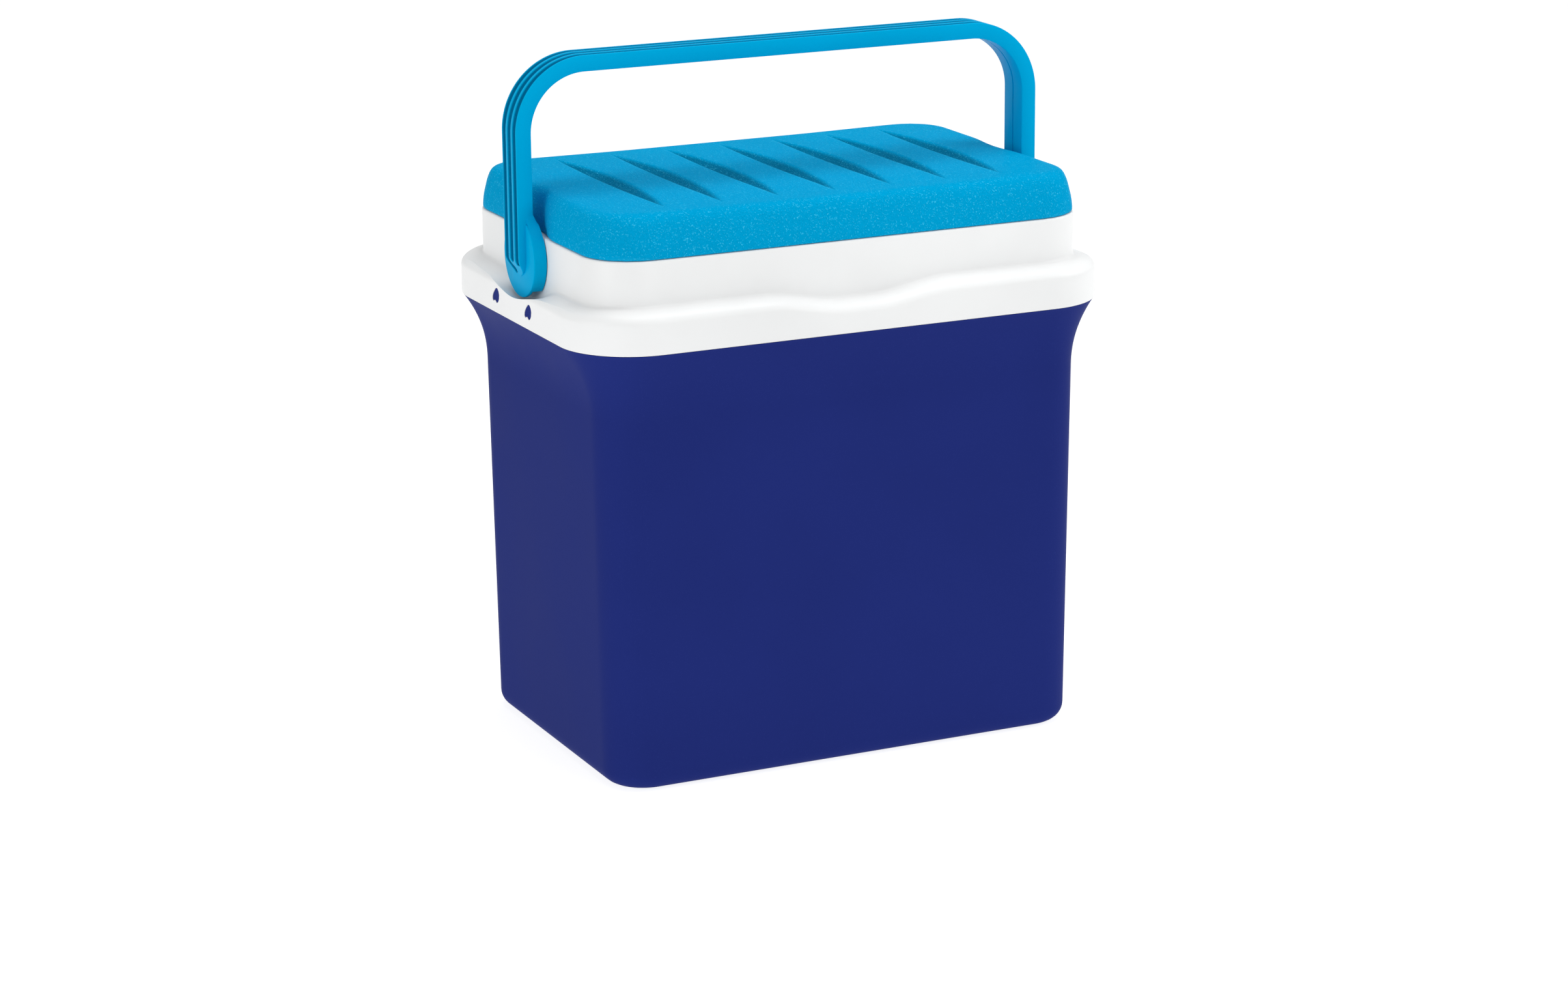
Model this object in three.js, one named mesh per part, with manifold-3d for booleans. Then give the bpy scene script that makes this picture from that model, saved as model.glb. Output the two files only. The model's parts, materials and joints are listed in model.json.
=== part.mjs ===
// A rigid picnic cooler: a foamed double-walled body, a lift-off lid and a fluted carrying handle
// that swings on two moulded pivots. Millimetres, +Z up, the long side along X. The origin is on
// the floor, under the middle of the body.
import * as THREE from 'three';
import { mergeVertices } from 'three/addons/utils/BufferGeometryUtils.js';
import Module from 'manifold-3d';

const wasm = await Module();
wasm.setup();

// ---- Driving dimensions -------------------------------------------------------------------

const GAP = 0.4; // clearance between pieces that rest on or beside each other
const FOAM_GAP = 0.3; // clearance around the insulation
const FOAM_STEP = 5; // the foam stops this far under the top of the body's rim
const SKIN = 2.5; // moulded wall of every plastic shell

// Tapered outer body, flaring out under the collar.
const BODY_FOOT = { x: 178, y: 122, corner: 31 };
const BODY_WAIST = { x: 181.3, y: 122.2, corner: 31 };
const BODY_TOP = { x: 199.6, y: 137.4, corner: 52 };
const FOOT_FILLET = 12;
const WAIST_Z = 258;
const FLARE_POWER = 2.2; // the flare starts softly and opens towards the collar
const RIM_STEP = 3.2; // the body's rim steps in by this to sit inside the collar's skirt
const RIM_Z = 317;
const RIM_ROOT = 8; // the inside of the wall steps in to the rim this far under the skirt

// Collar: the skirt, the shoulder and the upright band that carries the lid.
const COLLAR = { x: 200, y: 137.8, corner: 52.6 };
const BAND = { x: 184, y: 122, corner: 36 };
const SKIRT_Z = 309;
const SHOULDER_Z = 329; // where the skirt starts to round over
const SHOULDER_RISE = 9;
const BAND_TOP_Z = 369;
const BAND_EDGE = 1.5; // small round at the top of the band

// Inner tub.
const MOUTH = { x: 164, y: 107, corner: 22 };
const TUB_FLOOR = { x: 160.5, y: 103.5, corner: 22 };
const TUB_FLOOR_Z = 20;
const TUB_FILLET = 12;
const TUB_CHAMFER = { inset: 4, rise: 5 }; // under the tub's floor

// Finger dips in the middle of the long shoulders and pivot scallops in the ends.
const DIP_DEPTH = 7.5;
const DIP_HALF = 70;
const SCALLOP = { z: 324, rise: 8.5, half: 45 }; // lowest under the pivot, for the flange to turn in
const SCALLOP_FLAT = { rise: 1.5, end: 82 }; // then nearly level
const SCALLOP_END = { rise: 8, end: 107 }; // then up into the full shoulder at the corners

// Lid.
const LID = { x: 183.5, y: 121.5, corner: 36.5 };
const LID_EDGE_Z = BAND_TOP_Z + GAP;
const LID_TOP_Z = 398.5;
const LID_CEILING_Z = 394;
const PLUG_DEPTH = 20;
const PLUG_TAPER = 2.5;
const PLUG_GAP = 1.5;
const PLUG_WALL = 2;
const PLUG_ROUND = { inset: 2, rise: 3 }; // at the plug's foot
const PLUG_FLOOR_INSET = 5.5; // of the plug's inside, at its floor
const SCOOP_DEPTH = 6; // the lid's ends are scooped in behind the handle's arms
const SCOOP_HALF = 38;
const GROOVE_COUNT = 7;
const GROOVE_PITCH = 42.2;
const GROOVE_HALF_LENGTH = 95;
const GROOVE_DEPTH = 3;
const GROOVE_LEAF = { near: 3.5, far: 12.5 }; // how far each edge bows out from the line of the tips

// Handle.
const PIVOT_Z = 353;
const HANDLE_X = 199;
const HANDLE_TOP_Z = 489.5;
const HANDLE_CORNER = 51;
const HANDLE_CORNER_STEPS = 8;
const BAR = { thickness: 11.2, halfWidth: 13.1, edge: 0.8 };
const FLUTE = { count: 3, width: 6.8, ridge: 1.3, depth: 2 };
const FLUTE_FADE = 5; // the flutes run out over this height above the pivot
const FLANGE = { radius: 27.5, outer: 195.3, inner: 192.5 };
const HUB = { drop: 22, inner: 184.6 }; // as wide as the flange, but cut flat below the pivot
const FAIRING = { top: 31, degrees: 45 }; // the flange and hub blend into the arm's sides above the pivot
const PIN = { radius: 7, inner: 175.5 };
const SOCKET = { bore: 7.4, radius: 10.4, floor: 174.5, inner: 172.5 };

// Snap catches of the body that show through windows in the collar's ends.
const CATCH = { y: 29.3, z: 321.2, width: 15.5, height: 11.4, proud: 3.4 };
const CATCH_FIT = 0.95; // size of a catch against its window
const CATCH_TONGUE = { width: 17, root: 313, top: 323.5 };

const OVERLAP = 1; // how far joined shapes run into each other, and cutters past a face

const CORNER_STEPS = 6;
const CATCH_CURVE_STEPS = 4;
const FLANGE_STEPS = 14;
const SIDE_STEPS = 16;
const CORNER_SIGNS = [[1, 1], [-1, 1], [-1, -1], [1, -1]];

const COLOURS = { navy: 0x252f74, white: 0xf5f5f4, cyan: 0x009fd2, foam: 0xefe6c8 };

// ---- Shared helpers -----------------------------------------------------------------------

const clamp01 = (value) => Math.min(Math.max(value, 0), 1);
const mix = (a, b, t) => a + (b - a) * t;
const bump = (distance, half) => 0.5 + 0.5 * Math.cos(Math.PI * clamp01(Math.abs(distance) / half));
const grown = (size, by) => ({ x: size.x + by, y: size.y + by, corner: size.corner + by });

function mixed(a, b, t) {
  return { x: mix(a.x, b.x, t), y: mix(a.y, b.y, t), corner: mix(a.corner, b.corner, t) };
}

// One ring of a rounded rectangle, anticlockwise from above. The height is a number or a function
// of x and y, and the scoop draws in the middle of the two short ends.
function ring(size, height, { scoop = 0, sides = 1 } = {}) {
  const arcs = CORNER_SIGNS.map(([signX, signY], quarter) => {
    const centre = new THREE.Vector2(signX * (size.x - size.corner), signY * (size.y - size.corner));
    return Array.from({ length: CORNER_STEPS + 1 }, (_, step) => {
      const angle = (quarter + step / CORNER_STEPS) * Math.PI / 2;
      const reach = new THREE.Vector2(Math.cos(angle), Math.sin(angle)).multiplyScalar(size.corner);
      return reach.add(centre);
    });
  });
  const outline = arcs.flatMap((arc, quarter) => {
    const next = arcs[(quarter + 1) % arcs.length][0];
    const side = Array.from({ length: sides - 1 }, (_, i) => arc.at(-1).clone().lerp(next, (i + 1) / sides));
    return [...arc, ...side];
  });
  return outline.map(({ x, y }) => {
    const inset = Math.abs(x) > size.x - 1 ? scoop * bump(y, SCOOP_HALF) : 0;
    const z = typeof height === 'function' ? height(x, y) : height;
    return new THREE.Vector3(x - Math.sign(x) * inset, y, z);
  });
}

// A closed solid through rings of equal length, with a fan from its centre at each end. Each
// ring turns by the right-hand rule about the direction in which the rings follow each other.
function loft(rings) {
  const count = rings[0].length;
  const points = rings.flat();
  const indices = [];
  for (let row = 0; row < rings.length - 1; row++) {
    for (let i = 0; i < count; i++) {
      const a = row * count + i;
      const b = row * count + (i + 1) % count;
      indices.push(a, b, b + count, a, b + count, a + count);
    }
  }
  const centreOf = (loop) => loop.reduce((sum, p) => sum.add(p), new THREE.Vector3()).divideScalar(count);
  const last = (rings.length - 1) * count;
  points.push(centreOf(rings[0]), centreOf(rings.at(-1)));
  for (let i = 0; i < count; i++) {
    const next = (i + 1) % count;
    indices.push(points.length - 2, next, i);
    indices.push(points.length - 1, last + i, last + next);
  }
  const geometry = new THREE.BufferGeometry().setFromPoints(points);
  geometry.setIndex(indices);
  return geometry;
}

function solid(geometry) {
  const bare = geometry.clone();
  bare.deleteAttribute('normal');
  bare.deleteAttribute('uv');
  const merged = mergeVertices(bare, 1e-4);
  return new wasm.Manifold(new wasm.Mesh({
    numProp: 3,
    vertProperties: new Float32Array(merged.attributes.position.array),
    triVerts: new Uint32Array(merged.index.array),
  }));
}

function surface(body) {
  const mesh = body.getMesh();
  const geometry = new THREE.BufferGeometry();
  geometry.setAttribute('position', new THREE.BufferAttribute(new Float32Array(mesh.vertProperties), 3));
  geometry.setIndex(new THREE.BufferAttribute(new Uint32Array(mesh.triVerts), 1));
  return geometry;
}

// An outline drawn in (y, z), extruded along X between two distances on the left or right end.
function endwise(shape, near, far, side, curveSegments = 8) {
  const low = Math.min(side * near, side * far);
  const geometry = new THREE.ExtrudeGeometry(shape, {
    depth: Math.abs(far - near), bevelEnabled: false, curveSegments,
  });
  const turn = new THREE.Matrix4().makeBasis(
    new THREE.Vector3(0, 1, 0), new THREE.Vector3(0, 0, 1), new THREE.Vector3(1, 0, 0),
  );
  geometry.applyMatrix4(turn);
  geometry.translate(low, 0, 0);
  return geometry;
}

function disc(radius, y = 0, z = PIVOT_Z) {
  return new THREE.Shape().absarc(y, z, radius, 0, 2 * Math.PI, false);
}

function piece(name, geometry, colour, roughness) {
  const material = new THREE.MeshStandardMaterial({ color: colour, roughness, metalness: 0 });
  const mesh = new THREE.Mesh(geometry, material);
  mesh.name = name;
  return mesh;
}

// ---- Outer body ---------------------------------------------------------------------------

function bodySize(z) {
  if (z <= WAIST_Z) {
    return mixed(BODY_FOOT, BODY_WAIST, clamp01((z - FOOT_FILLET) / (WAIST_Z - FOOT_FILLET)));
  }
  return mixed(BODY_WAIST, BODY_TOP, ((z - WAIST_Z) / (SKIRT_Z - WAIST_Z)) ** FLARE_POWER);
}

// The body's outer face, or a face inside it at some depth, from the foot up to the given height.
function bodyRings(depth, top) {
  const foot = [0, 30, 60, 90].map((degrees) => {
    const angle = THREE.MathUtils.degToRad(degrees);
    const radius = FOOT_FILLET - depth;
    const inset = depth + radius * (1 - Math.sin(angle));
    return ring(grown(bodySize(0), -inset), depth + radius * (1 - Math.cos(angle)));
  });
  const flare = [0, 0.3, 0.5, 0.7, 0.85, 1].map((t) => mix(WAIST_Z, top, t));
  return [...foot, ...flare.map((z) => ring(grown(bodySize(z), -depth), z))];
}

// A spade-shaped snap catch, point upwards, with two lobes and a notch between them.
function catchShape(y, scale) {
  const at = (across, up) => [y + across * scale * CATCH.width / 2, CATCH.z + up * scale * CATCH.height / 2];
  return new THREE.Shape()
    .moveTo(...at(0, 1))
    .quadraticCurveTo(...at(0.75, 0.6), ...at(1, -0.35))
    .quadraticCurveTo(...at(0.95, -1), ...at(0.45, -1))
    .lineTo(...at(0, -0.55))
    .lineTo(...at(-0.45, -1))
    .quadraticCurveTo(...at(-0.95, -1), ...at(-1, -0.35))
    .quadraticCurveTo(...at(-0.75, 0.6), ...at(0, 1));
}

function tongueShape(y) {
  const half = CATCH_TONGUE.width / 2;
  return new THREE.Shape([
    new THREE.Vector2(y - half, CATCH_TONGUE.root),
    new THREE.Vector2(y + half, CATCH_TONGUE.root),
    new THREE.Vector2(y + half, CATCH_TONGUE.top),
    new THREE.Vector2(y - half, CATCH_TONGUE.top),
  ]);
}

function outerBody() {
  const rimOuter = grown(BODY_TOP, -RIM_STEP);
  const rimInner = grown(rimOuter, -SKIN);
  const top = SKIRT_Z - GAP;
  const rings = [
    ...bodyRings(0, top),
    ring(rimOuter, top),
    ring(rimOuter, RIM_Z),
    ring(rimInner, RIM_Z),
    ring(rimInner, SKIRT_Z - OVERLAP),
    ...bodyRings(SKIN, SKIRT_Z - RIM_ROOT).reverse(),
  ];
  const face = rimOuter.x;
  let body = solid(loft(rings));
  for (const side of [1, -1]) {
    for (const y of [CATCH.y, -CATCH.y]) {
      const snap = catchShape(y, CATCH_FIT);
      body = body.add(solid(endwise(tongueShape(y), face - SKIN, face, side)));
      body = body.add(solid(endwise(snap, face - OVERLAP, face + CATCH.proud, side, CATCH_CURVE_STEPS)));
    }
  }
  return piece('outer_body', surface(body), COLOURS.navy, 0.42);
}

// ---- Inner tub with its collar ------------------------------------------------------------

// The shoulder dips in the middle of the long sides, and is scalloped under each pivot.
function shoulderHeight(up, depth = 0) {
  return (x, y) => {
    const dipped = SHOULDER_Z + up * SHOULDER_RISE - DIP_DEPTH * bump(x, DIP_HALF);
    const along = Math.abs(y);
    const scallop = SCALLOP.z + SCALLOP.rise * (1 - bump(along, SCALLOP.half))
      + SCALLOP_FLAT.rise * clamp01((along - SCALLOP.half) / (SCALLOP_FLAT.end - SCALLOP.half))
      + SCALLOP_END.rise * Math.max(along - SCALLOP_FLAT.end, 0) / (SCALLOP_END.end - SCALLOP_FLAT.end);
    return Math.min(dipped, scallop) - depth;
  };
}

// Shoulder section: how far in from the skirt, and how far up from where the rounding starts.
// It ends in a small fillet against the band.
const SHOULDER_SECTION = [[0, 0], [0.05, 0.31], [0.19, 0.59], [0.44, 0.83], [0.8, 0.98], [0.94, 1.07], [1, 1.33]];
const SHOULDER_UNDER = [[1, 1], [0.44, 0.8], [0, 0]];

function innerTub() {
  const sides = SIDE_STEPS;
  const at = (size, z) => ring(size, z, { sides });
  const shoulderOuter = SHOULDER_SECTION.map(([inward, up]) => (
    at(mixed(COLLAR, BAND, inward), shoulderHeight(up))
  ));
  const shoulderUnder = SHOULDER_UNDER.map(([inward, up]) => (
    at(grown(mixed(COLLAR, BAND, inward), -SKIN), shoulderHeight(up, SKIN))
  ));
  const fillet = [90, 60, 30, 0].map((degrees) => {
    const angle = THREE.MathUtils.degToRad(degrees);
    return { inset: TUB_FILLET * (1 - Math.sin(angle)), rise: TUB_FILLET * (1 - Math.cos(angle)) };
  });
  const rings = [
    at(grown(TUB_FLOOR, SKIN - TUB_CHAMFER.inset), TUB_FLOOR_Z - SKIN),
    at(grown(TUB_FLOOR, SKIN), TUB_FLOOR_Z - SKIN + TUB_CHAMFER.rise),
    at(grown(MOUTH, SKIN), BAND_TOP_Z - SKIN),
    at(grown(BAND, -SKIN), BAND_TOP_Z - SKIN),
    ...shoulderUnder,
    at(grown(COLLAR, -SKIN), SKIRT_Z),
    at(COLLAR, SKIRT_Z),
    ...shoulderOuter,
    at(BAND, BAND_TOP_Z - BAND_EDGE),
    at(grown(BAND, -BAND_EDGE), BAND_TOP_Z),
    at(grown(MOUTH, BAND_EDGE), BAND_TOP_Z),
    at(MOUTH, BAND_TOP_Z - BAND_EDGE),
    ...fillet.map(({ inset, rise }) => at(grown(TUB_FLOOR, -inset), TUB_FLOOR_Z + rise)),
  ];
  let tub = solid(loft(rings));
  for (const side of [1, -1]) {
    tub = tub.add(solid(endwise(disc(SOCKET.radius), SOCKET.inner, BAND.x - OVERLAP, side)));
    tub = tub.subtract(solid(endwise(disc(SOCKET.bore), SOCKET.floor, BAND.x + OVERLAP, side)));
    for (const y of [CATCH.y, -CATCH.y]) {
      const root = BODY_TOP.x - RIM_STEP - OVERLAP - GAP;
      const window = endwise(catchShape(y, 1), root, COLLAR.x + OVERLAP, side, CATCH_CURVE_STEPS);
      tub = tub.subtract(solid(window));
    }
  }
  return piece('inner_tub', surface(tub), COLOURS.white, 0.38);
}

// ---- Insulation ---------------------------------------------------------------------------

function bodyInsulation() {
  const hidden = SKIN + FOAM_GAP;
  const step = RIM_Z - FOAM_STEP;
  const rimInside = grown(BODY_TOP, -RIM_STEP - hidden);
  const rings = [
    ...bodyRings(hidden, SKIRT_Z - RIM_ROOT),
    ring(rimInside, SKIRT_Z - OVERLAP),
    ring(rimInside, step),
    ring(grown(BAND, -hidden), step),
    ring(grown(BAND, -hidden), BAND_TOP_Z - hidden),
    ring(grown(MOUTH, hidden), BAND_TOP_Z - hidden),
    ring(grown(TUB_FLOOR, hidden), TUB_FLOOR_Z - hidden),
  ];
  let foam = solid(loft(rings));
  for (const side of [1, -1]) {
    const pocket = endwise(disc(SOCKET.radius + FOAM_GAP), SOCKET.inner - FOAM_GAP, BAND.x, side);
    foam = foam.subtract(solid(pocket));
  }
  return piece('body_insulation', surface(foam), COLOURS.foam, 0.9);
}

// ---- Lid ----------------------------------------------------------------------------------

// Lid section: height above its edge, and how far its ends and its long sides have drawn in.
const LID_SECTION = [
  { up: 0, ends: 0.7, sides: 0.7 },
  { up: 0.9, ends: 0, sides: 0 },
  { up: 6, ends: 0.2, sides: 0.5 },
  { up: 12, ends: 1.2, sides: 1.8 },
  { up: 18, ends: 2.5, sides: 3.6 },
  { up: 23.6, ends: 4.2, sides: 6 },
  { up: 26.8, ends: 5.8, sides: 8.4 },
  { up: 28.5, ends: 8.2, sides: 11.4 },
  { up: LID_TOP_Z - LID_EDGE_Z, ends: 11.5, sides: 15 },
];
const LID_WALL_ROW = 4; // the row of the section where the inside turns in under the top
const LID_CEILING_INSET = 2; // how much more the ceiling is drawn in than the row above that one

function lidRing({ up, ends, sides }, depth = 0, z = LID_EDGE_Z + up) {
  const size = { x: LID.x - ends - depth, y: LID.y - sides - depth, corner: LID.corner - ends - depth };
  return ring(size, z, { scoop: SCOOP_DEPTH, sides: SIDE_STEPS });
}

// The leaf-shaped groove's cutter: an upright near edge and a floor that rises to the far edge.
function grooveCutter(centre) {
  const stations = [-0.97, -0.85, -0.65, -0.4, -0.15, 0.15, 0.4, 0.65, 0.85, 0.97];
  return loft(stations.map((along) => {
    const width = 1 - along ** 2;
    const near = centre - GROOVE_LEAF.near * width;
    const far = centre + GROOVE_LEAF.far * width;
    const y = along * GROOVE_HALF_LENGTH;
    return [
      new THREE.Vector3(near, y, LID_TOP_Z - GROOVE_DEPTH * width),
      new THREE.Vector3(near, y, LID_TOP_Z + OVERLAP),
      new THREE.Vector3(far, y, LID_TOP_Z + OVERLAP),
      new THREE.Vector3(far, y, LID_TOP_Z),
    ];
  }));
}

function lidCover() {
  const ceiling = LID_SECTION[LID_WALL_ROW + 1];
  const rings = [
    lidRing(ceiling, SKIN + LID_CEILING_INSET, LID_CEILING_Z),
    lidRing(LID_SECTION[LID_WALL_ROW], SKIN),
    lidRing(LID_SECTION[0], SKIN),
    ...LID_SECTION.map((row) => lidRing(row)),
  ];
  let cover = solid(loft(rings));
  for (let i = 0; i < GROOVE_COUNT; i++) {
    const centre = (i - (GROOVE_COUNT - 1) / 2) * GROOVE_PITCH;
    cover = cover.subtract(solid(grooveCutter(centre)));
  }
  return piece('lid_cover', surface(cover), COLOURS.cyan, 0.5);
}

function plugSize(inset) {
  return grown(MOUTH, -PLUG_GAP - inset);
}

function lidLiner() {
  const at = (size, z, scoop = 0) => ring(size, z, { scoop, sides: SIDE_STEPS });
  const flange = grown(LID, -SKIN - LID_SECTION[0].ends - GAP);
  const bottom = LID_EDGE_Z - PLUG_DEPTH;
  const floor = bottom + PLUG_WALL;
  const top = LID_EDGE_Z + PLUG_WALL;
  const rings = [
    at(plugSize(PLUG_TAPER + PLUG_ROUND.inset), bottom),
    at(plugSize(PLUG_TAPER), bottom + PLUG_ROUND.rise),
    at(plugSize(0), LID_EDGE_Z),
    at(flange, LID_EDGE_Z, SCOOP_DEPTH),
    at(flange, top, SCOOP_DEPTH),
    at(plugSize(PLUG_WALL), top),
    at(plugSize(PLUG_FLOOR_INSET), floor),
  ];
  return piece('lid_liner', loft(rings), COLOURS.white, 0.4);
}

function lidInsulation() {
  const at = (size, z) => ring(size, z, { sides: SIDE_STEPS });
  const step = LID_EDGE_Z + PLUG_WALL + FOAM_GAP;
  const wall = LID_SECTION[LID_WALL_ROW];
  const depth = SKIN + FOAM_GAP;
  const rings = [
    at(plugSize(PLUG_FLOOR_INSET + FOAM_GAP), LID_EDGE_Z - PLUG_DEPTH + PLUG_WALL + FOAM_GAP),
    at(plugSize(PLUG_WALL + FOAM_GAP), step),
    lidRing(LID_SECTION[0], depth + GAP, step),
    lidRing(wall, depth + GAP),
    lidRing(LID_SECTION[LID_WALL_ROW + 1], depth + LID_CEILING_INSET + GAP, LID_CEILING_Z - FOAM_GAP),
  ];
  return piece('lid_insulation', loft(rings), COLOURS.foam, 0.9);
}

// ---- Handle -------------------------------------------------------------------------------

// The bar's section as depth below its outer face and place across it, with three flutes.
function barSection(fluteDepth) {
  const half = BAR.halfWidth;
  const flutes = [];
  for (let i = 0; i < FLUTE.count; i++) {
    const centre = ((FLUTE.count - 1) / 2 - i) * (FLUTE.width + FLUTE.ridge);
    for (const along of [1, 0.55, 0, -0.55, -1]) {
      flutes.push([fluteDepth * (1 - along ** 2), centre + along * FLUTE.width / 2]);
    }
  }
  return [
    [BAR.edge, half],
    [0, half - BAR.edge],
    ...flutes,
    [0, BAR.edge - half],
    [BAR.edge, -half],
    [BAR.thickness - BAR.edge, -half],
    [BAR.thickness, BAR.edge - half],
    [BAR.thickness, half - BAR.edge],
    [BAR.thickness - BAR.edge, half],
  ];
}

// Places along the outer face of the U, from the left pivot over the top to the right pivot.
function handleStations() {
  const turnX = HANDLE_X - HANDLE_CORNER;
  const turnZ = HANDLE_TOP_Z - HANDLE_CORNER;
  const left = [0, FLUTE_FADE].map((up) => ({ angle: Math.PI, x: -HANDLE_X, z: PIVOT_Z + up }));
  const turns = [[-1, Math.PI], [1, Math.PI / 2]].flatMap(([side, start]) => (
    Array.from({ length: HANDLE_CORNER_STEPS + 1 }, (_, i) => {
      const angle = start - (i / HANDLE_CORNER_STEPS) * Math.PI / 2;
      return {
        angle,
        x: side * turnX + HANDLE_CORNER * Math.cos(angle),
        z: turnZ + HANDLE_CORNER * Math.sin(angle),
      };
    })
  ));
  const right = left.map(({ z }) => ({ angle: 0, x: HANDLE_X, z })).reverse();
  return [...left, ...turns, ...right];
}

// A disc on the pivot that blends up into the arm's sides and is cut flat at its drop.
function fairedDisc(drop) {
  const { radius } = FLANGE;
  const start = THREE.MathUtils.degToRad(FAIRING.degrees);
  const cut = Math.asin(drop / radius);
  const half = BAR.halfWidth;
  const reach = radius * Math.cos(start);
  const height = PIVOT_Z + radius * Math.sin(start);
  const bend = height + (reach - half) / Math.tan(start);
  const shape = new THREE.Shape();
  shape.moveTo(half, PIVOT_Z + FAIRING.top);
  shape.quadraticCurveTo(half, bend, reach, height);
  shape.absarc(0, PIVOT_Z, radius, start, -cut, true);
  shape.absarc(0, PIVOT_Z, radius, Math.PI + cut, Math.PI - start, true);
  shape.quadraticCurveTo(-half, bend, -half, PIVOT_Z + FAIRING.top);
  return shape;
}

function carryHandle() {
  const rings = handleStations().map(({ angle, x, z }) => {
    const fluted = clamp01((z - PIVOT_Z) / FLUTE_FADE);
    return barSection(FLUTE.depth * fluted).map(([depth, across]) => new THREE.Vector3(
      x - depth * Math.cos(angle), across, z - depth * Math.sin(angle),
    ));
  });
  let handle = solid(loft(rings));
  for (const side of [1, -1]) {
    const inside = HANDLE_X - BAR.thickness;
    const flange = endwise(fairedDisc(FLANGE.radius), FLANGE.inner, FLANGE.outer, side, FLANGE_STEPS);
    const hub = endwise(fairedDisc(HUB.drop), HUB.inner, FLANGE.inner + OVERLAP, side, FLANGE_STEPS);
    handle = handle.add(solid(endwise(disc(BAR.halfWidth), inside, HANDLE_X, side)));
    handle = handle.add(solid(flange)).add(solid(hub));
    handle = handle.add(solid(endwise(disc(PIN.radius), PIN.inner, HUB.inner + OVERLAP, side)));
  }
  return piece('carry_handle', surface(handle), COLOURS.cyan, 0.35);
}

const cooler = new THREE.Group();
cooler.add(
  outerBody(),
  bodyInsulation(),
  innerTub(),
  lidCover(),
  lidInsulation(),
  lidLiner(),
  carryHandle(),
);

export default cooler;
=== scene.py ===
import json
import math
from collections import namedtuple

import bpy
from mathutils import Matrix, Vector


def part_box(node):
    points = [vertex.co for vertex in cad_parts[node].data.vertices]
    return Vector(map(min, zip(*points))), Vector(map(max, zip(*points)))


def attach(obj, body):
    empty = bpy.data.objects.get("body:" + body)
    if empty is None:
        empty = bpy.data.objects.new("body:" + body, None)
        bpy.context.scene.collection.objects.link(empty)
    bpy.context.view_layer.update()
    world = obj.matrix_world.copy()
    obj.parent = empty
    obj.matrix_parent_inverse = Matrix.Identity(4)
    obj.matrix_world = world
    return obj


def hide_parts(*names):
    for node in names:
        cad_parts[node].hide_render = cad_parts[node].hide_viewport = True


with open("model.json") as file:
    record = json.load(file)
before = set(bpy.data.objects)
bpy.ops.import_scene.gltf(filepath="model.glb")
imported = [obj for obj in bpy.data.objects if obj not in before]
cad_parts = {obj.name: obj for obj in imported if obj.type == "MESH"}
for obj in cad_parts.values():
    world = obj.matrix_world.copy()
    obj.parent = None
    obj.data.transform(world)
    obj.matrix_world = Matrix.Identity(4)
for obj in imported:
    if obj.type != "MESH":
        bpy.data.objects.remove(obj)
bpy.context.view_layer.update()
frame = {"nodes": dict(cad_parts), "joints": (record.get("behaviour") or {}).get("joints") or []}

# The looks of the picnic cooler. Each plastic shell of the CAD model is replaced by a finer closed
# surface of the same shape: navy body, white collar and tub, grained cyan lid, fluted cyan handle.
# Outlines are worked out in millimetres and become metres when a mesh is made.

MM = 0.001
Size = namedtuple("Size", "x y corner")
Crease = namedtuple("Crease", "low rise tail tail_from")


def corner_box(node):
    """Half lengths along X and Y, lowest and highest Z of a CAD node, in millimetres."""
    low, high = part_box(node)
    return high.x / MM, high.y / MM, low.z / MM, high.z / MM


_, BODY_Y, _, _ = corner_box("outer_body")
COLLAR_X, COLLAR_Y, TUB_BOTTOM, BAND_TOP = corner_box("inner_tub")
LID_X, LID_Y, LID_EDGE, LID_TOP = corner_box("lid_cover")
_, _, PLUG_BOTTOM, LINER_TOP = corner_box("lid_liner")
HANDLE_X, FLANGE_RADIUS, _, HANDLE_TOP = corner_box("carry_handle")
SWING = next(joint for joint in frame["joints"] if joint["name"] == "handle_swing")
PIVOT = SWING["pos_m"][2] / MM

SKIN = 2.5                       # moulded wall
SEAM = 0.4                       # play between the body and the collar
OVERLAP = 1                      # how far joined pieces and cutters reach past each other
CORNER_STEPS = 18                # mesh steps round a quarter turn
LONG_STEPS = 90                  # mesh steps along a long side
SHORT_STEPS = 64                 # mesh steps along a short end
WALL_STEPS = 12                  # mesh steps up the body's plain wall
FLARE_STEPS = 20                 # mesh steps up its flare
SHARP = math.radians(32)         # edges that turn more than this stay crisp

# Body
BODY_FOOT = Size(178, 122, 31)
BODY_WAIST = Size(181.3, 122.2, 31)
BODY_TOP = Size(COLLAR_X - SEAM, BODY_Y, 52)
FOOT_FILLET = 12
WAIST_Z = 258
FLARE_POWER = 2.2
RIM_STEP = 3.2                   # the rim stands this far inside the flare
RIM_Z = 317
RIM_ROOT = 1                     # the rim's inside starts this far under the skirt's foot
INNER_DROP = 8                   # and the body's inner wall this far

# Collar and tub
COLLAR = Size(COLLAR_X, COLLAR_Y, 52.6)
BAND = Size(COLLAR_X - 16, COLLAR_Y - 15.8, 36)
SKIRT_Z = 309
SKIRT_EDGE = 0.4
SHOULDER_Z = 329
SHOULDER_RISE = 9
BAND_FILLET = 3                  # where the shoulder runs up into the band
BAND_EDGE = 1.5
MOUTH = Size(164, 107, 22)
TUB_FLOOR = Size(160.5, 103.5, 22)
TUB_FLOOR_Z = TUB_BOTTOM + SKIN
TUB_FILLET = 12
DIP_DEPTH = 7.5                  # finger dips in the long shoulders
DIP_FLAT = 11
DIP_END = 70
SCALLOP_HALF = 50                # the pivot scallops drop steeply inside this
SCALLOP_FADE = 76                # and fade out between this
SCALLOP_END = 118                # and this
CREASE_END = 116
CREASE_FADE = 16
PLAIN_CREASE = 336               # where the mesh rows part on the plain long shoulders
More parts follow.
